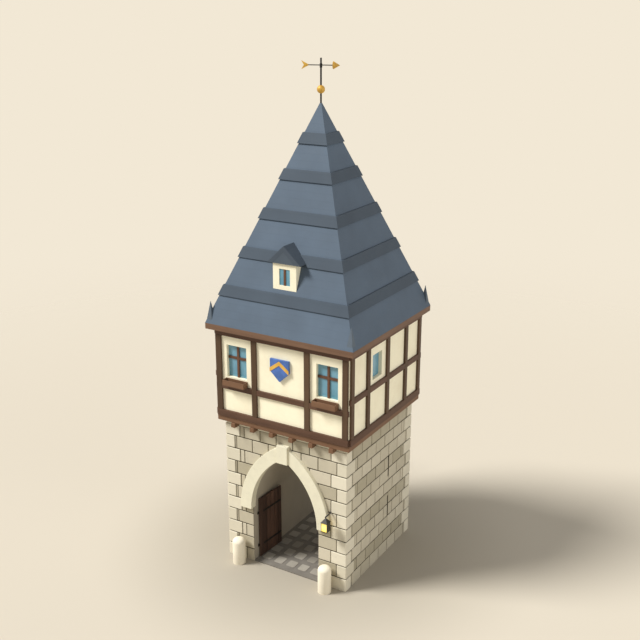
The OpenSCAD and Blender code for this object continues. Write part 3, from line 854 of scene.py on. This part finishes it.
@dataclass
class StoneStage:
    """The square stage: coursed blocks, corner stones, arch rings and guard stones."""

    half: float = 2.5
    half_opening: float = 1.4
    spring: float = 2.25
    arc_offset: float = 1.3
    ring: float = 0.47
    course: float = 0.5
    rows: int = 11
    top: float = 5.43
    pitch: float = 0.69
    joint: float = 0.032
    bed: float = 0.042
    narrowest: float = 0.20
    uneven: float = 0.003
    course_tints: Triple = (0.60, 0.32, 0.74)
    tint_swing: float = 0.12
    quoin_tints: Pair = (0.25, 0.95)
    block_ease: float = 0.012
    quoin_ease: float = 0.016
    long_quoin: float = 0.59
    short_quoin: float = 0.36
    block_proud: float = 0.020
    quoin_proud: float = 0.034
    bedded: float = 0.03
    slit_y: float = 0.68
    slit_width: float = 0.09
    slit_sills: Pair = (1.5, 3.155)
    slit_height: float = 0.86
    cut_inward: float = 0.1
    cut_outward: float = 0.3
    cut_below: float = 0.2
    arc_steps: int = 24
    rng: random.Random = field(default_factory=lambda: random.Random(11))

    def _row(self, row: int) -> Pair:
        """Gives the lowest and highest level of a row's stones."""
        low, half = (row - 1) * self.course, self.bed / 2
        return (low + half if row > 1 else 0.0), min(low + self.course - half, self.top)

    def _quoin(self, row: int, side: Side) -> float:
        """Gives the length of a corner stone on one side."""
        return self.long_quoin if self._is_long(row, side) else self.short_quoin

    def _is_long(self, row: int, side: Side) -> bool:
        """Whether a row's corner stones show their long face on a side."""
        return (row % 2 == 1) == side.on_road

    def _spans(self, row: int, side: Side) -> list[Pair]:
        """Divides a row between its corner stones into blocks.

        Args:
            row: The row, from one at the ground.
            side: The side of the stage.

        Returns:
            The two ends of each block.
        """
        edge = self.half - self._quoin(row, side)
        shift = self.pitch / 2 if self._is_long(row, side) else 0.0
        count = math.ceil(self.half / self.pitch) + 1
        marks = [k * self.pitch + shift for k in range(-count, count)]
        least = self.narrowest if side.on_road else self.joint
        cuts = [-edge, *(m for m in marks if self.joint - edge < m < edge - least), edge]
        spans = list(zip(cuts[:-1], cuts[1:]))
        if side.on_road and row * self.course < self.spring:
            gate = self.half_opening + self.joint / 2
            left = [(a, min(b, -gate + self.joint)) for a, b in spans if a < -gate]
            spans = left + [(max(a, gate - self.joint), b) for a, b in spans if b > gate]
        return spans

    def _block_tint(self, row: int) -> float:
        """Gives a block's shade: the rows go from middling to dark to light, and so on."""
        drift = self.rng.uniform(-self.tint_swing, self.tint_swing)
        return self.course_tints[(row - 1) % 3] + drift

    def _blocks(self, side: Side) -> Form:
        """Lays the blocks of one side.

        Args:
            side: The side of the stage.

        Returns:
            The blocks.
        """
        form = Form()
        gap = self.joint / 2
        for row in range(1, self.rows + 1):
            low, high = self._row(row)
            for start, end in self._spans(row, side):
                proud = self.block_proud + self.rng.uniform(-self.uneven, self.uneven)
                first = (start + gap, -self.half - proud, low)
                last = (end - gap, -self.half + self.bedded, high)
                form.box(first, last, self._block_tint(row))
        return form.ease(self.block_ease).move(side.turn)

    def _arch(self, extra: float, reach: float) -> Form:
        """Makes a solid of the pointed passage.

        Args:
            extra: How much wider it is above the springing.
            reach: How far it runs in front of and behind the middle.

        Returns:
            The solid.
        """
        form = Form()
        mesh = form.mesh
        radius = self.half_opening + self.arc_offset + extra
        foot = mesh.verts.new((self.arc_offset - radius, -reach, self.spring))
        arc = bmesh.ops.spin(
            mesh, geom=[foot], cent=(self.arc_offset, -reach, self.spring), axis=(0, 1, 0),
            angle=math.acos(self.arc_offset / radius), steps=self.arc_steps, use_duplicate=False,
        )
        top = arc["geom_last"][0]
        copy = bmesh.ops.duplicate(mesh, geom=mesh.verts[:] + mesh.edges[:])
        twins = [v for v in copy["geom"] if isinstance(v, bmesh.types.BMVert)]
        bmesh.ops.transform(mesh, matrix=Matrix.Diagonal((-1, 1, 1, 1)), verts=twins)
        bmesh.ops.remove_doubles(mesh, verts=[top, *twins], dist=MERGE)
        feet = [v for v in mesh.verts if abs(v.co.z - self.spring) < MERGE / 10]
        feet.sort(key=lambda v: v.co.x)
        corners = (-self.half_opening, self.spring), (-self.half_opening, -self.cut_below)
        left = [mesh.verts.new((x, -reach, z)) for x, z in corners]
        right = [mesh.verts.new((-x, -reach, z)) for x, z in reversed(corners)]
        chain = [feet[0], *left, *right, feet[-1]]
        for first, last in zip(chain[:-1], chain[1:]):
            mesh.edges.new((first, last))
        face = bmesh.ops.contextual_create(mesh, geom=mesh.edges[:])["faces"]
        depth = bmesh.ops.extrude_face_region(mesh, geom=face)["geom"]
        far = [v for v in depth if isinstance(v, bmesh.types.BMVert)]
        bmesh.ops.translate(mesh, verts=far, vec=(0, 2 * reach, 0))
        bmesh.ops.recalc_face_normals(mesh, faces=mesh.faces)
        return form

    def _slits(self) -> Form:
        """Makes solids of the right wall's slits.

        Returns:
            The solids, which reach through the blocks.
        """
        form = Form()
        half = self.slit_width / 2
        for sill in self.slit_sills:
            low = (self.half - self.cut_inward, self.slit_y - half, sill)
            high = (self.half + self.cut_outward, self.slit_y + half, sill + self.slit_height)
            form.box(low, high)
        return form

    def lay_blocks(self) -> None:
        """Lays the four sides and cuts them round the passage and the slits."""
        for side in Side:
            made = self._blocks(side).piece(side.part("blocks"), Finish.BLOCKS, "stone")
            if side.on_road:
                carve(made, self._arch(self.ring / 2, self.half + self.cut_outward))
            elif side is Side.RIGHT:
                carve(made, self._slits())

    def lay_quoins(self) -> None:
        """Lays the corner stones, which turn the corner with a long and a short face."""
        form = Form()
        face = self.half + self.quoin_proud
        inner = self.half + self.joint / 2
        for side in Side:
            for row in range(1, self.rows + 1):
                low, high = self._row(row)
                along_x = self._quoin(row, side)
                along_y = self._quoin(row, Side.RIGHT if side.on_road else Side.FRONT)
                tint = self.rng.uniform(*self.quoin_tints)
                first = (inner - along_x, -face, low)
                form.move(side.turn, form.box(first, (face, along_y - inner, high), tint))
        form.ease(self.quoin_ease).piece("corner_stones", Finish.QUOINS, "dressed_stone")

    def build(self) -> None:
        """Lays every stone of the stage."""
        dress(Finish.MASONRY, *(side.part("stage_wall") for side in Side))
        dress(Finish.RENDER, "passage_vault")
        dress(Finish.DRESSED, "beam_filling")
        self.lay_blocks()
        self.lay_quoins()
        eased("arch_rings", Finish.DRESSED, "dressed_stone", width=0.008, smooth=20)
        eased("keystones", Finish.DRESSED, "dressed_stone", width=0.006)
        eased("guard_stones", Finish.GUARDS, "dressed_stone", width=0.012, smooth=40)


@dataclass
class Passage:
    """The passage's floor, with its rows of square cobbles, and the pintles in its walls."""

    first: Pair = (-1.08, -2.02)
    pitch: Pair = (0.52, 0.612)
    count: tuple[int, int] = (5, 7)
    size: Pair = (0.36, 0.39)
    proud: float = 0.013
    bedded: float = 0.02
    shift: Pair = (0.025, 0.02)
    spread: Pair = (0.93, 1.05)
    tints: Pair = (0.1, 0.9)
    corner: float = 0.05
    rim: float = 0.008
    rng: random.Random = field(default_factory=lambda: random.Random(5))

    def build(self) -> None:
        """Beds the cobbles in the floor and finishes the pintles."""
        dress(Finish.PAVING, "passage_floor")
        dress(Finish.IRON, "gate_pintles")
        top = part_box("passage_floor")[1].z
        form = Form()
        for row in range(self.count[1]):
            for column in range(self.count[0]):
                x, y = (
                    first + step * pitch + self.rng.uniform(-shift, shift)
                    for first, step, pitch, shift in zip(
                        self.first, (column, row), self.pitch, self.shift
                    )
                )
                wide, deep = (side / 2 * self.rng.uniform(*self.spread) for side in self.size)
                low = (x - wide, y - deep, top - self.bedded)
                high = (x + wide, y + deep, top + self.proud)
                stone = form.box(low, high, self.rng.uniform(*self.tints))
                edges = dict.fromkeys(edge for vert in stone for edge in vert.link_edges)
                upright = [e for e in edges if abs(e.verts[0].co.z - e.verts[1].co.z) > MERGE]
                form.soften(upright, self.corner, segments=3)
        made = form.ease(self.rim, over=40).piece("cobbles", Finish.COBBLES, "cobbles")
        put_in_order(made.data)


# ---- gate and lantern


@dataclass
class GateLeaf:
    """One boarded leaf of the gate with its bolts, as it stands open."""

    name: str
    hand: int
    pin: Pair = (1.37, -2.265)
    foot: float = 0.075
    height: float = 2.415
    heel: float = 0.040
    length: float = 1.364
    back: float = 0.004
    thickness: float = 0.048
    planks: int = 6
    gap: float = 0.014
    rest: float = 4.0
    iron: float = 0.008
    band_start: float = 0.25
    band_levels: Pair = (0.435, 1.80)
    band_height: float = 0.075
    worn: float = 0.002
    plank_ease: float = 0.005
    tongue_margin: float = 0.012
    tongue_depth: float = 0.014
    bolt_radius: float = 0.016
    bolt_height: float = 0.008
    bolt_sides: int = 8
    bolt_margin: float = 0.05
    seed: int = 7

    @property
    def place(self) -> Matrix:
        """Carries the left leaf's own frame to this leaf's place.

        Returns:
            The place, mirrored for the right leaf.
        """
        stand = Matrix.Translation((-self.pin[0], self.pin[1], self.foot))
        open_ = Matrix.Rotation(math.radians(-self.rest), 4, "Z")
        return Matrix.Diagonal((self.hand, 1, 1, 1)) @ stand @ open_

    @property
    def plank(self) -> float:
        """The width of a plank with its gap."""
        return (self.length - self.heel) / self.planks

    def _mount(
        self, form: Form, part: str, finish: Finish, slot: str, smooth: float = 0.0
    ) -> bpy.types.Object:
        """Carries a form to the leaf's place and makes it a piece that rides on the leaf.

        Args:
            form: The form, in the left leaf's own frame.
            part: What it is.
            finish: Its finish.
            slot: The record's slot that the finish belongs to.
            smooth: The greatest angle that is shaded smooth, in degrees.

        Returns:
            The piece.
        """
        return form.move(self.place).piece(f"{self.name}_{part}", finish, slot, self.name, smooth)

    def boards(self) -> None:
        """Sets the planks side by side, with a tongue painted near black as shade behind each
        gap.
        """
        rng = random.Random(self.seed)
        form = Form()
        face = self.back + self.thickness
        for index in range(self.planks):
            start = self.heel + index * self.plank
            first = start + (self.gap / 2 if index else 0.0)
            last = start + self.plank - (self.gap / 2 if index < self.planks - 1 else 0.0)
            high = (face - rng.uniform(0, self.worn), last, self.height)
            form.box((self.back, first, 0.0), high, rng.uniform(0, 1))
        made = self._mount(form.ease(self.plank_ease), "planks", Finish.PLANKS, "gate_wood")
        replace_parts(made, f"{self.name}_leaf")
        # Painted shade: the tongues are coloured near black so that the gaps between planks look
        # shaded.
        shade_tongues = Form()
        margin = self.tongue_margin
        shade_tongues.box(
            (self.back + margin, self.heel + margin, margin),
            (face - self.tongue_depth, self.length - margin, self.height - margin),
        )
        self._mount(shade_tongues, "shade_tongues", Finish.GAP_SHADE, "gate_wood")

    def bolts(self) -> None:
        """Sets a bolt through both bands in each plank but the first."""
        form = Form()
        foot = self.back + self.thickness + self.iron
        turn = Vector((1, 0, 0)).to_track_quat("Z", "Y")
        for level in self.band_levels:
            for index in range(1, self.planks):
                middle = self.heel + (index + 0.5) * self.plank
                along = max(middle, self.band_start + self.bolt_margin)
                centre = (foot + self.bolt_height / 2, along, level + self.band_height / 2)
                bmesh.ops.create_cone(
                    form.mesh, cap_ends=True, segments=self.bolt_sides, radius1=self.bolt_radius,
                    radius2=self.bolt_radius / 2, depth=self.bolt_height,
                    matrix=Matrix.LocRotScale(Vector(centre), turn, None),
                )
        self._mount(form, "bolts", Finish.IRON, "iron", smooth=40)

    def build(self) -> None:
        """Boards, bolts and bands the leaf."""
        self.boards()
        self.bolts()
        dress(Finish.IRON, f"{self.name}_ironwork")


class Lantern:
    """The lantern on its arm beside the arch."""

    def build(self) -> None:
        """Finishes the ironwork and gives the panes their painted glow."""
        eased("lantern_bracket", Finish.LANTERN_IRON, "iron", width=0.003, smooth=35)
        eased("lantern_frame", Finish.LANTERN_IRON, "iron", width=0.004)
        dress(Finish.LAMP, "lantern_panes")


# ---- timber storey


@dataclass
class TimberFrame:
    """The boards of one side of the storey: sill, plate, rail and posts."""

    side: Side
    posts: tuple[float, ...]
    rail: float
    node: str
    mirrored: bool = False
    half: float = 2.69
    proud: float = 0.08
    bedded: float = 0.02
    foot: float = 5.81
    height: float = 3.285
    sill: float = 0.24
    plate: float = 0.21
    rail_height: float = 0.20
    post: float = 0.20
    gap: float = 0.003
    tints: Pair = (0.35, 0.75)
    board_ease: float = 0.007
    seed: int = 7

    def _board(self, form: Form, x: Pair, z: Pair, tint: float) -> None:
        """Adds one board on the wall's face."""
        low = (x[0], -self.half - self.proud, self.foot + z[0])
        form.box(low, (x[1], -self.half + self.bedded, self.foot + z[1]), tint)

    def _finish(self, form: Form, part: str, finish: Finish) -> bpy.types.Object:
        """Softens, places and finishes the boards.

        Args:
            form: The boards, as on the front.
            part: What they are.
            finish: Their finish.

        Returns:
            The piece.
        """
        form.ease(self.board_ease).move(self.side.turn)
        if self.mirrored:
            form.move(Matrix.Diagonal((-1, 1, 1, 1)))
        return form.piece(f"{self.node}_{part}", finish, "frame_wood")

    def build(self) -> None:
        """Cuts and fixes the boards of this side."""
        rng = random.Random(len(self.posts) * self.seed + self.side.value)
        half = self.post / 2
        uprights = Form()
        for x in self.posts:
            between = (self.sill + self.gap, self.height - self.plate - self.gap)
            self._board(uprights, (x - half, x + half), between, rng.uniform(*self.tints))
        levels = Form()
        for rise in ((0.0, self.sill), (self.height - self.plate, self.height)):
            self._board(levels, (-self.half, self.half), rise, rng.uniform(*self.tints))
        beyond = self.half + half + self.gap
        stops = (-beyond, *self.posts, beyond)
        for left, right in zip(stops[:-1], stops[1:]):
            span = (left + half + self.gap, right - half - self.gap)
            rise = (self.rail, self.rail + self.rail_height)
            self._board(levels, span, rise, rng.uniform(*self.tints))
        made = self._finish(levels, "level_boards", Finish.RAILS)
        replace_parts(made, self.node)
        self._finish(uprights, "posts", Finish.POSTS)


@dataclass
class WindowBars:
    """The wooden bars over the storey's glass and the dormer's."""

    window_x: float = 1.84
    window_width: float = 0.84
    window_z: Pair = (7.35, 8.55)
    glass: float = 2.56
    bar: float = 0.085
    depth: float = 0.045
    transom: float = 0.095
    transom_z: float = 8.07
    dormer_glass: float = 2.348
    dormer_z: Pair = (10.945, 11.515)
    dormer_bar: float = 0.085
    dormer_depth: float = 0.022
    transom_back: float = 0.005
    upright_tint: float = 0.6
    level_tint: float = 0.35
    bar_ease: float = 0.006

    def _window(self, form: Form, x: float) -> Verts:
        """Adds the mullion and transom of one window, as on the front.

        Args:
            form: The form that they are added to.
            x: The window's middle.

        Returns:
            Their corners.
        """
        half, bar = self.window_width / 2, self.bar / 2
        front = -self.glass - self.depth
        low, high = self.window_z
        made = form.box((x - bar, front, low), (x + bar, -self.glass, high), self.upright_tint)
        low, high = self.transom_z - self.transom / 2, self.transom_z + self.transom / 2
        for start, end in ((x - half, x - bar), (x + bar, x + half)):
            first = (start, front + self.transom_back, low)
            made += form.box(first, (end, -self.glass, high), self.level_tint)
        return made

    def build(self) -> None:
        """Fixes the bars of each front and back window, and the dormer's mullion."""
        form = Form()
        for side in (Side.FRONT, Side.BACK):
            for x in (-self.window_x, self.window_x):
                form.move(side.turn, self._window(form, x))
        bar = self.dormer_bar / 2
        low, high = self.dormer_z
        first = (-bar, -self.dormer_glass - self.dormer_depth, low)
        form.box(first, (bar, -self.dormer_glass, high), self.upright_tint)
        form.ease(self.bar_ease).piece("window_bars", Finish.BARS, "frame_wood")


@dataclass
class Storey:
    """The timber-framed storey over the gate, with its jetty."""

    front_posts: tuple[float, ...] = (-2.56, -1.075, 1.075, 2.56)
    side_posts: tuple[float, ...] = (-2.56, -1.44, 0.0, 1.44, 2.56)
    front_rail: float = 1.08
    side_rail: float = 1.48

    def build(self) -> None:
        """Finishes the walls, beams, windows, boxes and shield."""
        dress(Finish.PLASTER, *(side.part("storey_wall") for side in Side))
        dress(Finish.FLOORS, "upper_floor", "attic_floor")
        dress(Finish.WINDOWS, "window_glass")
        eased("jetty_beams", Finish.BEAMS, "beam_wood", width=0.012)
        eased("floor_joists", Finish.JOISTS, "beam_wood", width=0.010)
        for side in (Side.FRONT, Side.BACK):
            TimberFrame(side, self.front_posts, self.front_rail, side.part("timbers")).build()
        right = TimberFrame(Side.RIGHT, self.side_posts, self.side_rail, "right_timbers")
        right.build()
        replace(right, node="left_timbers", mirrored=True).build()
        WindowBars().build()
        eased("flower_boxes", Finish.BOXES, "beam_wood", width=0.006)
        eased("shield_plaque", Finish.BLUE_PAINT, "shield_paint", width=0.012)
        eased("shield_chevron", Finish.GOLD_PAINT, "gilding", width=0.003)


# ---- roof


class Roof:
    """The slated pyramid with its bands, corner spikes, dormer and weathervane."""

    def build(self) -> None:
        """Finishes every part of the roof."""
        dress(Finish.SLATES, *(side.part("roof_slope") for side in Side))
        eased("eaves_beams", Finish.EAVES, "eaves_wood", width=0.012)
        eased("slate_bands", Finish.BANDS, "dark_slate", width=0.008)
        eased("corner_spikes", Finish.SPIKES, "dark_slate", width=0.006)
        dress(Finish.PLASTER, "dormer_walls")
        eased("dormer_roof", Finish.DORMER, "dark_slate", width=0.006)
        dress(Finish.GABLE, "dormer_gable")
        eased("vane_rod", Finish.ROD_IRON, "iron", width=0.004, smooth=35)
        eased("vane_ball", Finish.GILDING, "gilding", width=0.0005, smooth=60)
        eased("vane_arrow", Finish.ROD_IRON, "iron", width=0.003, body="vane", smooth=35)
        eased("vane_gilding", Finish.GILDING, "gilding", width=0.002, body="vane", smooth=35)


# ---- studio


@dataclass(frozen=True)
class Lamp:
    """A soft far light, which travels one way and looks some degrees wide."""

    name: str
    strength: float
    way: Triple
    spread: float

    def hang(self, tone: Triple) -> None:
        """Hangs the light.

        Args:
            tone: Its colour.
        """
        data = bpy.data.lights.new(self.name, "SUN")
        data.energy, data.color = self.strength, tone
        data.angle = math.radians(self.spread)
        lamp = add(self.name, data)
        lamp.rotation_mode = "QUATERNION"
        lamp.rotation_quaternion = Vector(self.way).to_track_quat("-Z", "Y")


@dataclass
class Studio:
    """The pale floor, the soft light and the camera."""

    sky: str = "#f2e8d5"
    ground: str = "#cdc4b4"
    # Painted shade: the floor's colour at the building's foot, darker in place of its shadow and
    # occlusion.
    shaded: str = "#b1a99a"
    tone: Triple = (1.0, 0.992, 0.972)
    ambient: float = 0.42
    lamps: tuple[Lamp, ...] = (
        Lamp("key", strength=3.9, way=(0.537, 0.420, -0.731), spread=18.0),
        Lamp("back", strength=0.5, way=(-0.30, -0.94, -0.15), spread=60.0),
        Lamp("fill", strength=0.8, way=(-0.98, 0.10, -0.12), spread=50.0),
    )
    target: Triple = (-0.038, 0.0, 9.061)
    distance: float = 34.56
    azimuth: float = 30.815
    elevation: float = 18.318
    lens: float = 53.84
    sensor: float = 36.0
    clip: Pair = (0.5, 400.0)
    floor_radius: float = 120.0
    floor_sides: int = 96
    # The painted shade fades out between these distances from the middle of the plan.
    painted_shade_reach: Pair = (3.0, 9.0)
    fade_reach: Pair = (14.0, 52.0)

    def world(self) -> None:
        """Lights the object from all round, and shows the backdrop's colour to the camera."""
        world = bpy.data.worlds.new("studio")
        bpy.context.scene.world = world
        g = Graph(world)
        path = g.node("ShaderNodeLightPath", output="Is Camera Ray")
        seen = path.most(path.sibling("Is Transmission Ray"))
        ambience = {"Color": (*self.tone, 1.0), "Strength": self.ambient}
        light = g.node("ShaderNodeBackground", sockets=ambience)
        sky = g.node("ShaderNodeBackground", sockets={"Color": linear(self.sky)})
        joined = g.node("ShaderNodeMixShader", sockets={0: seen, 1: light, 2: sky})
        g.node("ShaderNodeOutputWorld", sockets={"Surface": joined})

    def floor(self) -> None:
        """Lays a pale floor, painted darker near the building, that fades into the backdrop."""
        mesh = bmesh.new()
        bmesh.ops.create_circle(
            mesh, cap_ends=True, segments=self.floor_sides, radius=self.floor_radius
        )
        data = bpy.data.meshes.new("floor")
        mesh.to_mesh(data)
        mesh.free()
        g = Graph(bpy.data.materials.new("studio_floor"))
        length = g.node("ShaderNodeVectorMath", {"operation": "LENGTH"}, {0: g.place}, "Value")
        away = length.ramp(*self.fade_reach)
        # Painted shade: the floor goes from shaded at the building's foot to ground further out.
        tone = g.mix(linear(self.shaded), linear(self.ground), length.ramp(*self.painted_shade_reach))
        matt = g.node("ShaderNodeBsdfDiffuse", sockets={"Color": tone})
        clear = g.node("ShaderNodeBsdfTransparent")
        joined = g.node("ShaderNodeMixShader", sockets={0: away, 1: matt, 2: clear})
        g.node("ShaderNodeOutputMaterial", sockets={"Surface": joined})
        data.materials.append(g.owner)
        add("floor", data)

    def camera(self) -> None:
        """Sets up the camera."""
        turn, lift = math.radians(self.azimuth), math.radians(self.elevation)
        level = math.cos(lift)
        back = Vector((math.sin(turn) * level, -math.cos(turn) * level, math.sin(lift)))
        data = bpy.data.cameras.new("camera")
        data.lens, data.sensor_width = self.lens, self.sensor
        data.clip_start, data.clip_end = self.clip
        camera = add("camera", data)
        camera.location = Vector(self.target) + back * self.distance
        camera.rotation_mode = "QUATERNION"
        camera.rotation_quaternion = (-back).to_track_quat("-Z", "Y")
        bpy.context.scene.camera = camera

    def build(self) -> None:
        """Sets up the whole studio."""
        bpy.context.scene.view_settings.view_transform = "Standard"
        self.world()
        self.floor()
        for lamp in self.lamps:
            lamp.hang(self.tone)
        self.camera()


def main() -> None:
    """Builds the gatehouse's looks, from the ground up."""
    logging.basicConfig(level=logging.INFO, format="%(name)s: %(message)s")
    StoneStage().build()
    Passage().build()
    GateLeaf("left_gate", 1).build()
    GateLeaf("right_gate", -1).build()
    Lantern().build()
    Storey().build()
    Roof().build()
    Studio().build()


if __name__ == "__main__":
    main()
